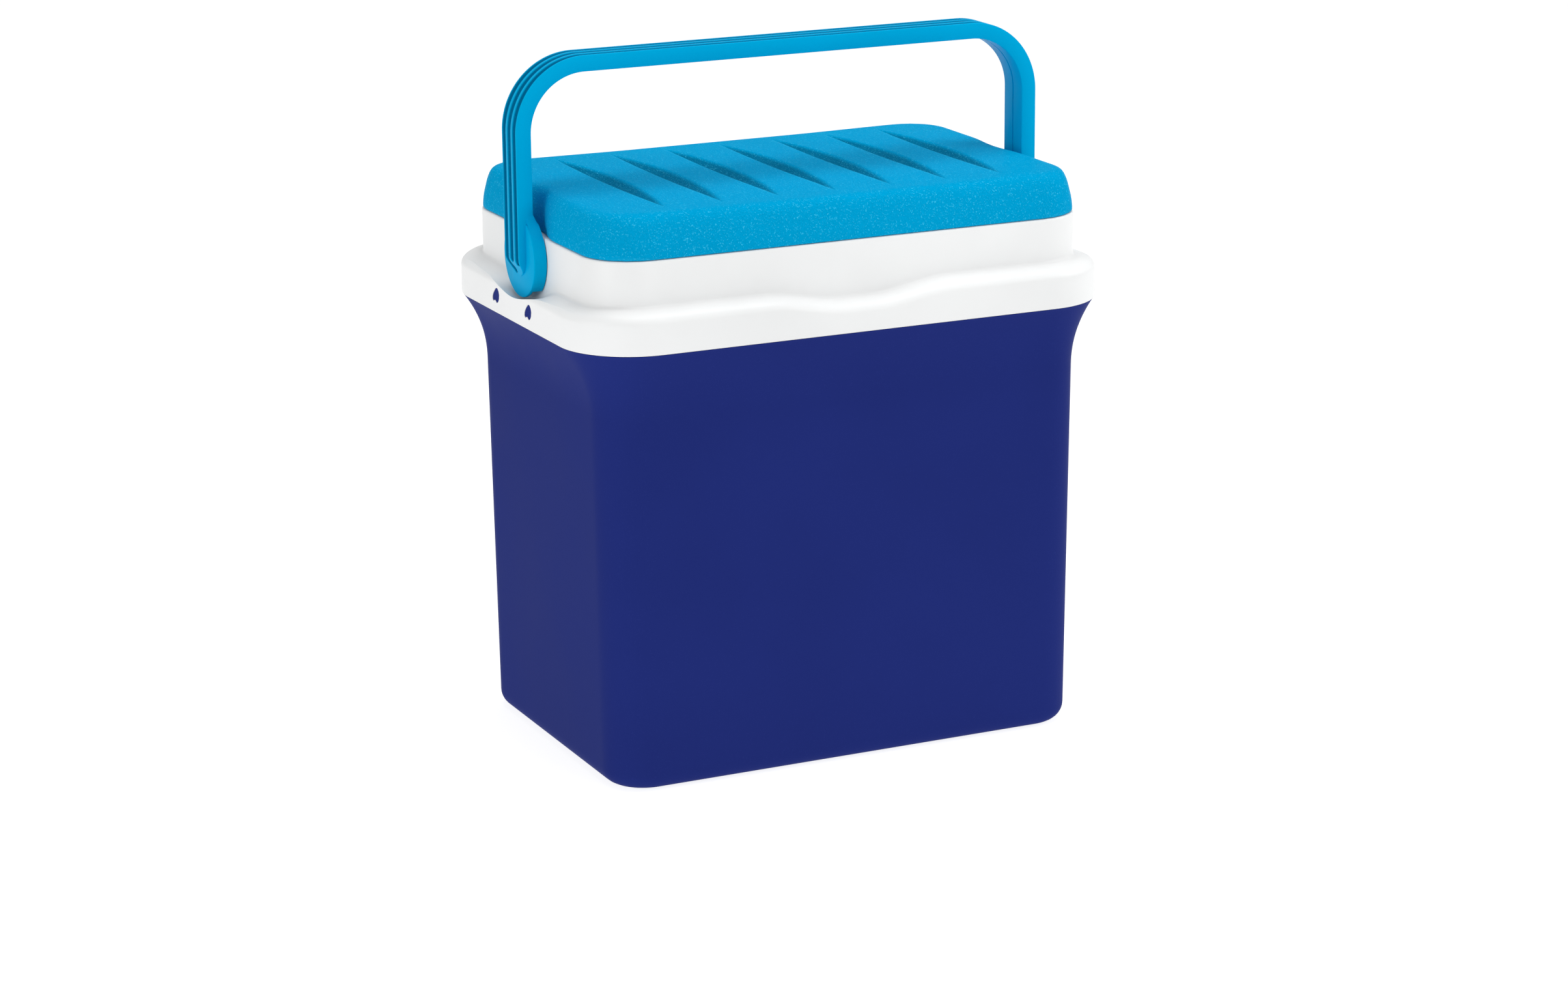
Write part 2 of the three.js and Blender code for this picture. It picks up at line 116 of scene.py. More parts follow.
OUTER_CREASE = Crease(326, 6.5, 2, 40)
INNER_CREASE = Crease(322.5, 12, 0.8, 50)
CREASE_TAIL = 40                 # length over which a crease rises through its tail
TROUGH_SAG = 0.5
TUB_CHAMFER_IN = 4
TUB_CHAMFER_UP = 5
SOCKET_BORE = 7.4
SOCKET_FLOOR = 174.5

# Snap catches
CATCH_Y = 29.3
CATCH_Z = 321.2
CATCH_PROUD = 3.4
CATCH_FIT = 0.95                 # of the window it fills
TONGUE_HALF = 8.5
TONGUE_ROOT = 313
TONGUE_TOP = 323.5

# Lid
LID = Size(LID_X, LID_Y, 36.5)
SCOOP_DEPTH = 6
SCOOP_TOP = 3
SCOOP_HALF = 38
GROOVE_COUNT = 7
GROOVE_PITCH = 42.2
GROOVE_HALF = 95
GROOVE_NEAR = 3.5                # reach of a groove's middle to both sides of the line between
GROOVE_FAR = 12.5                # its tips
GROOVE_DEPTH = 3.8
GROOVE_EDGE = 0.07               # share of a groove's width that its steep near edge takes
GROOVE_POWER = 1.8
LEAF_TIP = 0.06                  # a groove is never narrower than this share of its full width
LEAF_FULLNESS = 1.35             # above 1, so that a groove keeps its full depth near its middle
PATCH_X = 153                    # half lengths of the flat patch that carries the grooves
PATCH_Y = 97
CROWN_DROP = 0.6                 # the long edges lie this much under the top
CROWN_FLAT = 60                  # which is level inside this
CROWN_ACROSS = 50                # and falls off over this across the lid
CROWN_ALONG = 90                 # and this along it
LID_UNDERCUT = 0.7
PLUG_PLAY = 1.5
LINER_INSET = 3.6

# Handle
HANDLE_CORNER = 51
BAR_THICKNESS = 11.2
BAR_HALF = 13.1
BAR_EDGE = 0.8
FLUTE_WIDTH = 6.4
FLUTE_PITCH = 8.8
FLUTE_DEPTH = 2
FLUTE_STOP = -4                  # the front flute ends flat at this lift over the pivot
FLUTE_STOP_LENGTH = 0.8
TIP_SINK = 4.9                   # the bar's outer face runs down to the flange at its tip
SLOT_HALF = 0.9                  # shallow slot along the middle of the bar's inner face
SLOT_DEPTH = 0.6
SLOT_TAPER = 0.15
FLANGE_OUTER = 193.7
FLANGE_INNER = 191.5
HUB_DROP = 21                    # the hub is cut flat this far under the pivot
HUB_INNER = 184.6
HUB_TOP = 24.2
DISC_INSET = 0.05                # keeps the discs' sides off the bar's own
DISC_SINK = 0.3                  # the hub's full height is reached this far inside the bar
FAIRING_TOP = 31
FAIRING_START = math.radians(45)
PIN_RADIUS = 7
PIN_INNER = 175.5


# ---- Shapes -------------------------------------------------------------------------------

def clamp01(value):
    return min(max(value, 0.0), 1.0)


def mix(a, b, t):
    return a + (b - a) * t


def steps_to(low, high, count):
    """Even steps from just past the first value to the last."""
    return [mix(low, high, i / count) for i in range(1, count + 1)]


def smooth(value):
    t = clamp01(value)
    return t * t * (3 - 2 * t)


def bump(distance, half):
    return 0.5 + 0.5 * math.cos(math.pi * clamp01(abs(distance) / half))


def grown(size, by):
    return Size(size.x + by, size.y + by, size.corner + by)


def mixed(a, b, t):
    return Size(mix(a.x, b.x, t), mix(a.y, b.y, t), mix(a.corner, b.corner, t))


def outline(size):
    """Points of a rounded rectangle, anticlockwise from above, always in the same order."""
    points = []
    for quarter, (sign_x, sign_y) in enumerate([(1, 1), (-1, 1), (-1, -1), (1, -1)]):
        centre_x = sign_x * (size.x - size.corner)
        centre_y = sign_y * (size.y - size.corner)
        for step in range(CORNER_STEPS + 1):
            angle = (quarter + step / CORNER_STEPS) * math.pi / 2
            reach_x = size.corner * math.cos(angle)
            reach_y = size.corner * math.sin(angle)
            points.append((centre_x + reach_x, centre_y + reach_y))
        along_x = quarter % 2 == 0
        steps = LONG_STEPS if along_x else SHORT_STEPS
        half = size.x - size.corner if along_x else size.y - size.corner
        x, y = points[-1]
        for step in range(1, steps):
            move = 2 * half * step / steps
            if along_x:
                points.append((x - sign_x * move, y))
            else:
                points.append((x, y - sign_y * move))
    return points


def level(size, z):
    """One row of a loft: a rounded rectangle at one height."""
    return [(x, y, z) for x, y in outline(size)]


def mesh_object(name, points, faces):
    """A new object in the scene, from points in millimetres."""
    mesh = bpy.data.meshes.new(name)
    mesh.from_pydata([Vector(point) * MM for point in points], [], faces)
    mesh.validate()
    made = bpy.data.objects.new(name, mesh)
    bpy.context.scene.collection.objects.link(made)
    return made


def loft(name, rows):
    """A closed surface through rows of equal length, closed at each end by one flat face."""
    count = len(rows[0])
    points = [point for row in rows for point in row]
    faces = []
    for row in range(len(rows) - 1):
        for i in range(count):
            a = row * count + i
            b = row * count + (i + 1) % count
            faces.append((a, b, b + count, a + count))
    last = (len(rows) - 1) * count
    faces.append(tuple(reversed(range(count))))
    faces.append(tuple(range(last, last + count)))
    return mesh_object(name, points, faces)


def soften(made):
    """Smooth shading that keeps the edges sharper than SHARP."""
    made.data.shade_smooth()
    made.data.set_sharp_from_angle(angle=SHARP)
    return made


HOLLOW_MARGIN = 0.2              # places deeper than a groove by more than this aren't in it


def mark_hollows(made, share):
    """Stores how deep in a groove every point lies, for the material's painted groove shade."""
    hollow = made.data.attributes.new("hollow", "FLOAT", "POINT")
    for vertex, value in zip(made.data.vertices, hollow.data):
        value.value = share(*(vertex.co / MM))


def combined(made, others, operation):
    """Joins other closed pieces to this one, or cuts them from it, and removes them."""
    tools = bpy.data.collections.new(made.name + "_tools")
    for other in others:
        bpy.context.scene.collection.objects.unlink(other)
        tools.objects.link(other)
    bpy.context.scene.collection.children.link(tools)
    modifier = made.modifiers.new("combine", "BOOLEAN")
    modifier.operation = operation
    modifier.operand_type = "COLLECTION"
    modifier.solver = "EXACT"
    modifier.collection = tools
    graph = bpy.context.evaluated_depsgraph_get()
    result = bpy.data.meshes.new_from_object(made.evaluated_get(graph))
    made.modifiers.clear()
    made.data = result
    for other in others:
        bpy.data.objects.remove(other)
    bpy.data.collections.remove(tools)
    return made


def endwise(name, shape, near, far, side):
    """A prism along X whose outline is given as (y, z) points, anticlockwise seen from +X."""
    low, high = sorted((side * near, side * far))
    return loft(name, [[(x, y, z) for y, z in shape] for x in (low, high)])


def circle(radius, steps=64):
    """A circle round the pivot, as (y, z)."""
    turns = [2 * math.pi * i / steps for i in range(steps)]
    return [(radius * math.cos(turn), PIVOT + radius * math.sin(turn)) for turn in turns]


def fillet(radius, steps=8):
    """Inset and rise of a quarter round that starts flat and ends upright."""
    angles = [math.pi / 2 * i / steps for i in range(steps + 1)]
    return [(radius * (1 - math.sin(a)), radius * (1 - math.cos(a))) for a in angles]


# ---- Outer body ---------------------------------------------------------------------------

def body_size(z):
    if z <= WAIST_Z:
        return mixed(BODY_FOOT, BODY_WAIST, clamp01((z - FOOT_FILLET) / (WAIST_Z - FOOT_FILLET)))
    return mixed(BODY_WAIST, BODY_TOP, ((z - WAIST_Z) / (SKIRT_Z - WAIST_Z)) ** FLARE_POWER)


def body_rows(depth, top):
    """The body's face at some depth under its surface, from the foot up to the given height."""
    foot = [
        level(grown(BODY_FOOT, -depth - inset), depth + rise)
        for inset, rise in fillet(FOOT_FILLET - depth)
    ]
    heights = steps_to(FOOT_FILLET, WAIST_Z, WALL_STEPS) + steps_to(WAIST_Z, top, FLARE_STEPS)
    return foot + [level(grown(body_size(z), -depth), z) for z in heights]


CATCH_OUTLINE = [                # tilted leaf with its point up and a notch under it, as (y, z)
    (-1.8, 5.7), (0.2, 4.9), (2.7, 2.9), (5.0, 0.6), (6.2, -1.5), (6.4, -3.3), (5.4, -4.5), (3.9, -4.5),
    (2.6, -3.8), (1.4, -3.6), (0.2, -4.4), (-1.2, -5.1), (-2.6, -4.9), (-4.4, -3.7), (-5.7, -1.8),
    (-6.3, 1.2), (-5.4, 3.6), (-3.6, 5.2),
]


def catch_shape(y, scale):
    return [(y + across * scale, CATCH_Z + up * scale) for across, up in reversed(CATCH_OUTLINE)]


def tongue_shape(y):
    low, high = y - TONGUE_HALF, y + TONGUE_HALF
    return [(low, TONGUE_ROOT), (high, TONGUE_ROOT), (high, TONGUE_TOP), (low, TONGUE_TOP)]


def outer_body():
    """The navy shell: flared wall, stepped-in rim and the snap catches on their tongues."""
    top = SKIRT_Z - SEAM
    rim_outer = grown(BODY_TOP, -RIM_STEP)
    rim_inner = grown(rim_outer, -SKIN)
    rows = body_rows(0, top) + [
        level(rim_outer, top),
        level(rim_outer, RIM_Z),
        level(rim_inner, RIM_Z),
        level(rim_inner, SKIRT_Z - RIM_ROOT),
    ]
    rows += reversed(body_rows(SKIN, SKIRT_Z - INNER_DROP))
    body = loft("cooler_body", rows)
    catches = []
    face = rim_outer.x
    for side in (1, -1):
        for y in (CATCH_Y, -CATCH_Y):
            leaf = catch_shape(y, CATCH_FIT)
            catches.append(endwise("tongue", tongue_shape(y), face - SKIN, face, side))
            catches.append(endwise("catch", leaf, face - OVERLAP, face + CATCH_PROUD, side))
    return soften(combined(body, catches, "UNION"))


# ---- Collar and tub -----------------------------------------------------------------------

UPRIGHT = SHOULDER_Z - SKIRT_Z
SHOULDER_IN = COLLAR.x - BAND.x
REACH = 1 - BAND_FILLET / SHOULDER_IN          # share of the way in at which the fillet starts
ARC_TURN = math.acos(1 - REACH)
ARC_LENGTH = 20                                # of the shoulder's round
SKIRT_ROWS = 22
UNDER_ROW = 18                                 # the row that the skirt's inside follows
SHOULDER_ROWS = 14
FILLET_ROWS = 5


def shoulder_point(travel):
    """How far in, from 0 to 1, and how high the plain shoulder is after some travel up the skirt."""
    if travel <= UPRIGHT:
        return 0.0, SKIRT_Z + travel
    angle = (travel - UPRIGHT) / ARC_LENGTH * ARC_TURN
    return 1 - math.cos(angle), SHOULDER_Z + SHOULDER_RISE * math.sin(angle)


def travel_to(z):
    """The travel up the skirt at which the plain shoulder reaches a height."""
    if z <= SHOULDER_Z:
        return z - SKIRT_Z
    angle = min(math.asin(clamp01((z - SHOULDER_Z) / SHOULDER_RISE)), ARC_TURN)
    return UPRIGHT + angle / ARC_TURN * ARC_LENGTH


def crease_height(crease, y):
    """Height of one edge of the pivot's scallop, at some distance from the pivot along the end."""
    along = abs(y)
    climb = crease.rise * (1 - bump(along, SCALLOP_HALF))
    return crease.low + climb + crease.tail * clamp01((along - crease.tail_from) / CREASE_TAIL)


def shoulder_section(skirt_y, band_y, at_end):
    """One section from the skirt's foot to the band, as shares of the way in and heights."""
    in_trough = 0
    crease = PLAIN_CREASE
    if at_end:
        in_trough = 1 - smooth((abs(band_y) - SCALLOP_FADE) / (SCALLOP_END - SCALLOP_FADE))
        outer = crease_height(OUTER_CREASE, skirt_y)
        crease = mix(PLAIN_CREASE, outer, smooth((CREASE_END - abs(band_y)) / CREASE_FADE))
    turn = travel_to(crease)
    section = [shoulder_point(turn * i / SKIRT_ROWS) for i in range(SKIRT_ROWS + 1)]
    edge_in, edge_z = section[-1]
    for i in range(1, SHOULDER_ROWS + 1):
        share = i / SHOULDER_ROWS
        plain_in, plain_z = shoulder_point(mix(turn, UPRIGHT + ARC_LENGTH, share))
        trough_in = mix(edge_in, REACH, share)
        trough_z = mix(edge_z, crease_height(INNER_CREASE, band_y), share)
        trough_z -= TROUGH_SAG * math.sin(math.pi * share)
        section.append((mix(plain_in, trough_in, in_trough), mix(plain_z, trough_z, in_trough)))
    foot_z = section[-1][1]
    for i in range(1, FILLET_ROWS + 1):
        angle = math.pi / 2 * i / FILLET_ROWS
        section.append((mix(REACH, 1, math.sin(angle)), foot_z + BAND_FILLET * (1 - math.cos(angle))))
    return section


def shoulder_columns():
    """For each place round the collar, the points of its section from the skirt to the band."""
    columns = []
    for (skirt_x, skirt_y), (band_x, band_y) in zip(outline(COLLAR), outline(BAND)):
        at_end = abs(band_x) > BAND.x - BAND.corner
        dip = 0
        if not at_end:
            dip = DIP_DEPTH * (1 - smooth((abs(skirt_x) - DIP_FLAT) / (DIP_END - DIP_FLAT)))
        columns.append([
            (
                mix(skirt_x, band_x, inward),
                mix(skirt_y, band_y, inward),
                z - dip * clamp01((z - SKIRT_Z) / UPRIGHT),
            )
            for inward, z in shoulder_section(skirt_y, band_y, at_end)
        ])
    return columns


def collar_and_tub():
    """The white moulding, from its underside out over the collar and down into the tub."""
    edge = [(0, 0), (0.2, 0.75), (0.75, 1.3), (BAND_EDGE, BAND_EDGE)]
    edge = [(inset, BAND_TOP - BAND_EDGE + rise) for inset, rise in edge]
    shoulder = shoulder_columns()
    under_band = [
        (x, y, column[-1][2] - BAND_FILLET - SKIN)
        for (x, y), column in zip(outline(grown(BAND, -SKIN)), shoulder)
    ]
    under_skirt = [
        (x, y, column[UNDER_ROW][2] - SKIN)
        for (x, y), column in zip(outline(grown(COLLAR, -SKIN)), shoulder)
    ]
    rows = [
        level(grown(TUB_FLOOR, SKIN - TUB_CHAMFER_IN), TUB_BOTTOM),
        level(grown(TUB_FLOOR, SKIN), TUB_BOTTOM + TUB_CHAMFER_UP),
        level(grown(MOUTH, SKIN), BAND_TOP - SKIN),
        level(grown(BAND, -SKIN), BAND_TOP - SKIN),
        under_band,
        under_skirt,
        level(grown(COLLAR, -SKIN), SKIRT_Z),
        level(grown(COLLAR, -SKIRT_EDGE), SKIRT_Z),
    ]
    rows.append(level(COLLAR, SKIRT_Z + SKIRT_EDGE))
    rows += [[column[i] for column in shoulder] for i in range(1, len(shoulder[0]))]
    rows += [level(grown(BAND, -inset), z) for inset, z in edge]
    rows += [level(grown(MOUTH, inset), z) for inset, z in reversed(edge)]
    rows += [
        level(grown(TUB_FLOOR, -inset), TUB_FLOOR_Z + rise)
        for inset, rise in reversed(fillet(TUB_FILLET))
    ]
    tub = loft("collar_and_tub", rows)
    cutters = []
    window_root = BODY_TOP.x - RIM_STEP - OVERLAP - SEAM
    for side in (1, -1):
        cutters.append(endwise("socket", circle(SOCKET_BORE), SOCKET_FLOOR, BAND.x + OVERLAP, side))
        for y in (CATCH_Y, -CATCH_Y):
            window = catch_shape(y, 1)
            cutters.append(endwise("window", window, window_root, COLLAR.x + OVERLAP, side))
    return soften(combined(tub, cutters, "DIFFERENCE"))


# ---- Lid ----------------------------------------------------------------------------------

LID_SECTION = [                  # height above the edge, inset of the ends, inset of the long sides
    (0.3, 0.35, 0.35), (0.9, 0, 0), (2.5, 0.02, 0.05), (4.5, 0.1, 0.25), (7, 0.3, 0.65),
    (10, 0.75, 1.3), (13, 1.4, 2.1), (16, 2.05, 3.0), (19, 2.75, 3.9), (21.5, 3.5, 4.9),
    (23.6, 4.2, 6), (25.3, 5, 7.1), (26.7, 5.9, 8.4), (27.7, 7, 9.9), (28.4, 8.3, 11.6),
    (28.8, 9.8, 13.4), (29.02, 11.6, 15.4), (29.1, 14, 18),
]
LID_HOLLOW = [(0, 0, 0), (18, 2, 3.4), (24, 8, 10)]     # the same, under the lid
CROWN_RISE = 29                  # the sides take up the crown over this height


def leaf_width(y):
    return max(1 - (y / GROOVE_HALF) ** 2, 0)


def groove_profile(share):
    """Depth of a groove from its steep near edge, at 0, to its soft far edge, at 1."""
    if share < GROOVE_EDGE:
        return share / GROOVE_EDGE
    return 1 - ((share - GROOVE_EDGE) / (1 - GROOVE_EDGE)) ** GROOVE_POWER


LEAF_SHARES = [0, 0.02, 0.05, GROOVE_EDGE, 0.1, 0.2, 0.3, 0.4, 0.5, 0.6, 0.7, 0.8, 0.88, 0.94]
FLAT_STEPS = 12                                # mesh steps across the flats between the grooves
LEAF_ROWS = 34                                 # mesh rows along half a groove


def patch_columns(y):
    """Places across the lid's top at one y, with the depth of the groove there."""
    width = max(leaf_width(y), LEAF_TIP)
    depth = GROOVE_DEPTH * min(leaf_width(y) * LEAF_FULLNESS, 1)
    columns = []
    end = -PATCH_X
    for groove in range(GROOVE_COUNT):
        tips = (groove - (GROOVE_COUNT - 1) / 2) * GROOVE_PITCH
        near = tips - GROOVE_NEAR * width
        far = tips + GROOVE_FAR * width
        columns += [(mix(end, near, i / FLAT_STEPS), 0) for i in range(FLAT_STEPS)]
        columns += [(mix(near, far, share), depth * groove_profile(share)) for share in LEAF_SHARES]
        end = far
    columns.append((end, 0))
    columns += [(x, 0) for x in steps_to(end, PATCH_X, FLAT_STEPS)]
    return columns


def patch_rows():
    """Places along Y of the patch's mesh rows, closer together towards the grooves' tips."""
    turns = [math.pi / 2 * i / LEAF_ROWS for i in range(-LEAF_ROWS, LEAF_ROWS + 1)]
    past = GROOVE_HALF + 1
    return [-PATCH_Y, -past] + [GROOVE_HALF * math.sin(turn) for turn in turns] + [past, PATCH_Y]


def crown(x, y):
    """How far the lid's top falls away near the middle of its long edges."""
    across = smooth((abs(y) - CROWN_FLAT) / CROWN_ACROSS)
    return -CROWN_DROP * across * (1 - smooth((abs(x) - CROWN_FLAT) / CROWN_ALONG))


def lid_rim(size, place):
    """Where a place on the patch's edge lands on a rounded rectangle of some size."""
    x, y = place
    flat_x = size.x - size.corner
    flat_y = size.y - size.corner
    sign_x = math.copysign(1, x)
    sign_y = math.copysign(1, y)
    if abs(y) >= PATCH_Y - 1e-6:
        if abs(x) <= flat_x:
            return x, sign_y * size.y
        angle = math.pi / 2 - math.pi / 4 * (abs(x) - flat_x) / (PATCH_X - flat_x)
    else:
        if abs(y) <= flat_y:
            return sign_x * size.x, y
        angle = math.pi / 4 * (abs(y) - flat_y) / (PATCH_Y - flat_y)
    return (
        sign_x * (flat_x + size.corner * math.cos(angle)),
        sign_y * (flat_y + size.corner * math.sin(angle)),
    )


def scooped(x, y, depth):
    """Draws in the middle of the lid's two ends, behind the handle's arms."""
    if abs(x) < PATCH_X:
        return x
    return x - math.copysign(depth * bump(y, SCOOP_HALF), x)


def groove_share(x, y, z):
    """How deep in a groove a place on the lid lies, from 0 to 1."""
    under = LID_TOP + crown(x, y) - z
    if abs(x) > PATCH_X or abs(y) > PATCH_Y or under > GROOVE_DEPTH + HOLLOW_MARGIN:
        return 0
    return under / GROOVE_DEPTH


def lid_patch():
    """The lid's grooved top as points and faces, and its outer row once round."""
    rows = [patch_columns(y) for y in patch_rows()]
    wide, deep = len(rows[0]), len(rows)
    points = [
        (x, y, LID_TOP - depth + crown(x, y))
        for y, row in zip(patch_rows(), rows) for x, depth in row
    ]
    faces = []
    for j in range(deep - 1):
        for i in range(wide - 1):
            a = j * wide + i
            faces.append((a, a + 1, a + 1 + wide, a + wide))
    rim = list(range(wide))
    rim += [j * wide + wide - 1 for j in range(1, deep)]
    rim += [(deep - 1) * wide + i for i in range(wide - 2, -1, -1)]
    rim += [j * wide for j in range(deep - 2, 0, -1)]
    return points, faces, rim


def lid_ring(places, size, z):
    """One ring of the lid's side, scooped at both ends, with a point for each place on the patch."""
    depth = mix(SCOOP_DEPTH, SCOOP_TOP, smooth((z - LID_EDGE) / (LID_TOP - LID_EDGE)))
    ring = []
    for place in places:
        x, y = lid_rim(size, place)
        x = scooped(x, y, depth) if abs(place[1]) < PATCH_Y else x
        ring.append((x, y, z + crown(x, y) * clamp01((z - LID_EDGE) / CROWN_RISE)))
    return ring


def lid_cover():
    """The cyan cover: its grooved top, rounded side and the hollow under it."""
    points, faces, last = lid_patch()
    places = [points[i][:2] for i in last]
    under = grown(LID, -LID_UNDERCUT)
    inside = grown(under, -SKIN)
    levels = [
        (up, Size(LID.x - ends, LID.y - sides, LID.corner - ends))
        for up, ends, sides in reversed(LID_SECTION)
    ]
    levels.append((0, under))
    levels += [
        (up, Size(inside.x - ends, inside.y - sides, inside.corner - ends))
        for up, ends, sides in LID_HOLLOW
    ]
    for up, size in levels:
        row = list(range(len(points), len(points) + len(last)))
        points += lid_ring(places, size, LID_EDGE + up)
        for i in range(len(last)):
            k = (i + 1) % len(last)
            faces.append((last[i], row[i], row[k], last[k]))
        last = row
    faces.append(tuple(last))
    lid = mesh_object("lid", points, faces)
    # groove depths drive the painted shade in the lid's grooves
    mark_hollows(lid, groove_share)
    return soften(lid)


def lid_liner():
    """The white plug under the lid, with its rounded foot and the flange that rests on the band."""
    plug = grown(MOUTH, -PLUG_PLAY)
    height = LID_EDGE - PLUG_BOTTOM
    outside = [(4.5, 0), (3.2, 0.8), (2.5, 3), (0.3, height - 1)]
    rows = [level(grown(plug, -inset), PLUG_BOTTOM + up) for inset, up in outside]
    rows.append(level(plug, LID_EDGE))
    flange = [(scooped(x, y, SCOOP_DEPTH), y) for x, y in outline(grown(LID, -LINER_INSET))]
    rows += [[(x, y, z) for x, y in flange] for z in (LID_EDGE, LINER_TOP)]
    inside = [(2, LINER_TOP - PLUG_BOTTOM), (5.5, 2)]
    rows += [level(grown(plug, -inset), PLUG_BOTTOM + up) for inset, up in inside]
    return soften(loft("lid_plug", rows))


# ---- Handle -------------------------------------------------------------------------------

FLUTE_HALF = FLUTE_WIDTH / 2
PAST_TOP = 300                   # any lift over the bends, where the flutes run straight on
FLUTE_PATHS = [                  # middle lines on the outer face, as place across and lift
    [(0, PAST_TOP), (0, FLUTE_HALF - 3)],
    [(FLUTE_PITCH, PAST_TOP), (FLUTE_PITCH, 0), (8.1, -3.2), (6.4, -6), (3.6, -8.4)],
]
FLUTE_STEPS = 16                 # mesh steps across a flute


def path_distance(across, lift, path):
    """How far a place is from a line of straight steps."""
    nearest = math.inf
    for (ax, ay), (bx, by) in zip(path, path[1:]):
        length = (bx - ax) ** 2 + (by - ay) ** 2
        along = clamp01(((across - ax) * (bx - ax) + (lift - ay) * (by - ay)) / length)
        nearest = min(nearest, math.hypot(across - mix(ax, bx, along), lift - mix(ay, by, along)))
    return nearest


def flute_depth(across, lift):
    """Depth of the three flutes at a place on the outer face, lift being the height over the pivot."""
    front = 1 - ((across + FLUTE_PITCH) / FLUTE_HALF) ** 2
    depth = front * clamp01((lift - FLUTE_STOP) / FLUTE_STOP_LENGTH)
    for path in FLUTE_PATHS:
        depth = max(depth, 1 - (path_distance(across, lift, path) / FLUTE_HALF) ** 2)
    return FLUTE_DEPTH * max(depth, 0)


FREE_SHARE = 0.85                # of the narrowed face that keeps its places
EVEN_LIFT = 3                    # the places spread evenly from this lift down
EVEN_LENGTH = 4


def squeezed(place, room):
    """Keeps a place across the face where it is, or draws it in where the bar's round tip narrows."""
    free = FREE_SHARE * room
    if abs(place) <= free:
        return place
    share = (abs(place) - free) / (BAR_HALF - BAR_EDGE - free)
    return math.copysign(mix(free, room, share), place)


def face_places(lift, room):
    """Places across the outer face, closer together at the edges of the straight flutes."""
    edge = BAR_HALF - BAR_EDGE
    straight = [-edge]
    for centre in (-FLUTE_PITCH, 0, FLUTE_PITCH):
        turns = [math.pi * i / FLUTE_STEPS for i in range(FLUTE_STEPS + 1)]
        straight += [centre - FLUTE_HALF * math.cos(turn) for turn in turns]
    straight.append(edge)
    even = [-edge] + steps_to(-edge, edge, len(straight) - 1)
    share = smooth((EVEN_LIFT - lift) / EVEN_LENGTH)
    return [squeezed(mix(a, b, share), room) for a, b in zip(straight, even)]


def tip_sink(lift):
    """How far the bar's outer face has sunk towards the flange at some lift over the pivot."""
    return TIP_SINK * smooth(-lift / BAR_HALF)


EDGE_SHARE = 0.4                 # at the tip the rounded edges take no more than this of the half
SOFT_SHARE = 0.3                 # where the middle point of a rounded edge lies


def bar_section(lift):
    """Depth under the outer face and place across it, once round the bar."""
    half = math.sqrt(BAR_HALF ** 2 - min(lift, 0) ** 2)
    inner = BAR_THICKNESS
    edge = min(BAR_EDGE, half * EDGE_SHARE)
    soft = edge * SOFT_SHARE
    groove_shade_colour = tip_sink(lift)
    places = face_places(lift, half - edge)
    face = [(groove_shade_colour + flute_depth(place, lift), place) for place in reversed(places)]
    deep, narrow = inner - SLOT_DEPTH, SLOT_HALF - SLOT_TAPER
    slot = [(inner, SLOT_HALF), (deep, narrow), (deep, -narrow), (inner, -SLOT_HALF)]
    return (
        [(groove_shade_colour + edge, half), (groove_shade_colour + soft, half - soft)] + face
        + [(groove_shade_colour + soft, soft - half), (groove_shade_colour + edge, -half)]
        + [(inner - edge, -half), (inner - soft, soft - half), (inner, edge - half)]
        + [(d, a * min(half / BAR_HALF, 1)) for d, a in reversed(slot)]
        + [(inner, half - edge), (inner - soft, half - soft), (inner - edge, half)]
    )


TIP_STEPS = 40                   # mesh steps round the arm's tip
NEAR_TOP = 12                    # the steps are fine up to this lift
NEAR_STEPS = 30
ARM_STEPS = 12
BEND_STEPS = 32                  # mesh steps round each bend


def arm_lifts():
    """Heights over the pivot of the mesh rows of one arm, up to the start of the bend."""
    tip = [-BAR_HALF * math.cos(math.pi / 2 * i / TIP_STEPS) for i in range(1, TIP_STEPS)]
    near = [0] + steps_to(0, NEAR_TOP, NEAR_STEPS)
    return tip + near + steps_to(NEAR_TOP, HANDLE_TOP - HANDLE_CORNER - PIVOT, ARM_STEPS)


def handle_stations():
    """Angle, x, z and lift along the outer face, from the left arm's foot over to the right's."""
    lifts = arm_lifts()
    left = [(math.pi, -HANDLE_X, PIVOT + lift, lift) for lift in lifts]
    turn_x = HANDLE_X - HANDLE_CORNER
    turn_z = HANDLE_TOP - HANDLE_CORNER
    bends = []
    for side, start in ((-1, math.pi), (1, math.pi / 2)):
        first = 1 if side < 0 else 0
        for i in range(first, first + BEND_STEPS):
            angle = start - math.pi / 2 * i / BEND_STEPS
            x = side * turn_x + HANDLE_CORNER * math.cos(angle)
            z = turn_z + HANDLE_CORNER * math.sin(angle)
            bends.append((angle, x, z, z - PIVOT))
    right = [(0, HANDLE_X, z, lift) for _, _, z, lift in reversed(left)]
    return left + bends + right


FAIRING_STEPS = 12
DISC_STEPS = 40


def curve(start, middle, end, t):
    """A quadratic Bezier curve in one coordinate."""
    return (1 - t) ** 2 * start + 2 * t * (1 - t) * middle + t ** 2 * end


def faired_disc(radius, half, drop, top):
    """A disc on the pivot that blends up into the arm's sides, cut flat at its drop, as (y, z)."""
    reach = radius * math.cos(FAIRING_START)
    height = radius * math.sin(FAIRING_START)
    bend = height + (reach - half) / math.tan(FAIRING_START)
    side = []
    for i in range(FAIRING_STEPS + 1):
        t = i / FAIRING_STEPS
        side.append((curve(half, half, reach, t), PIVOT + curve(top, bend, height, t)))
    cut = -math.asin(min(drop / radius, 1))
    for angle in steps_to(FAIRING_START, cut, DISC_STEPS):
        side.append((radius * math.cos(angle), PIVOT + radius * math.sin(angle)))
    if drop >= radius:
        side.pop()
    return [(-y, z) for y, z in side] + side[::-1]


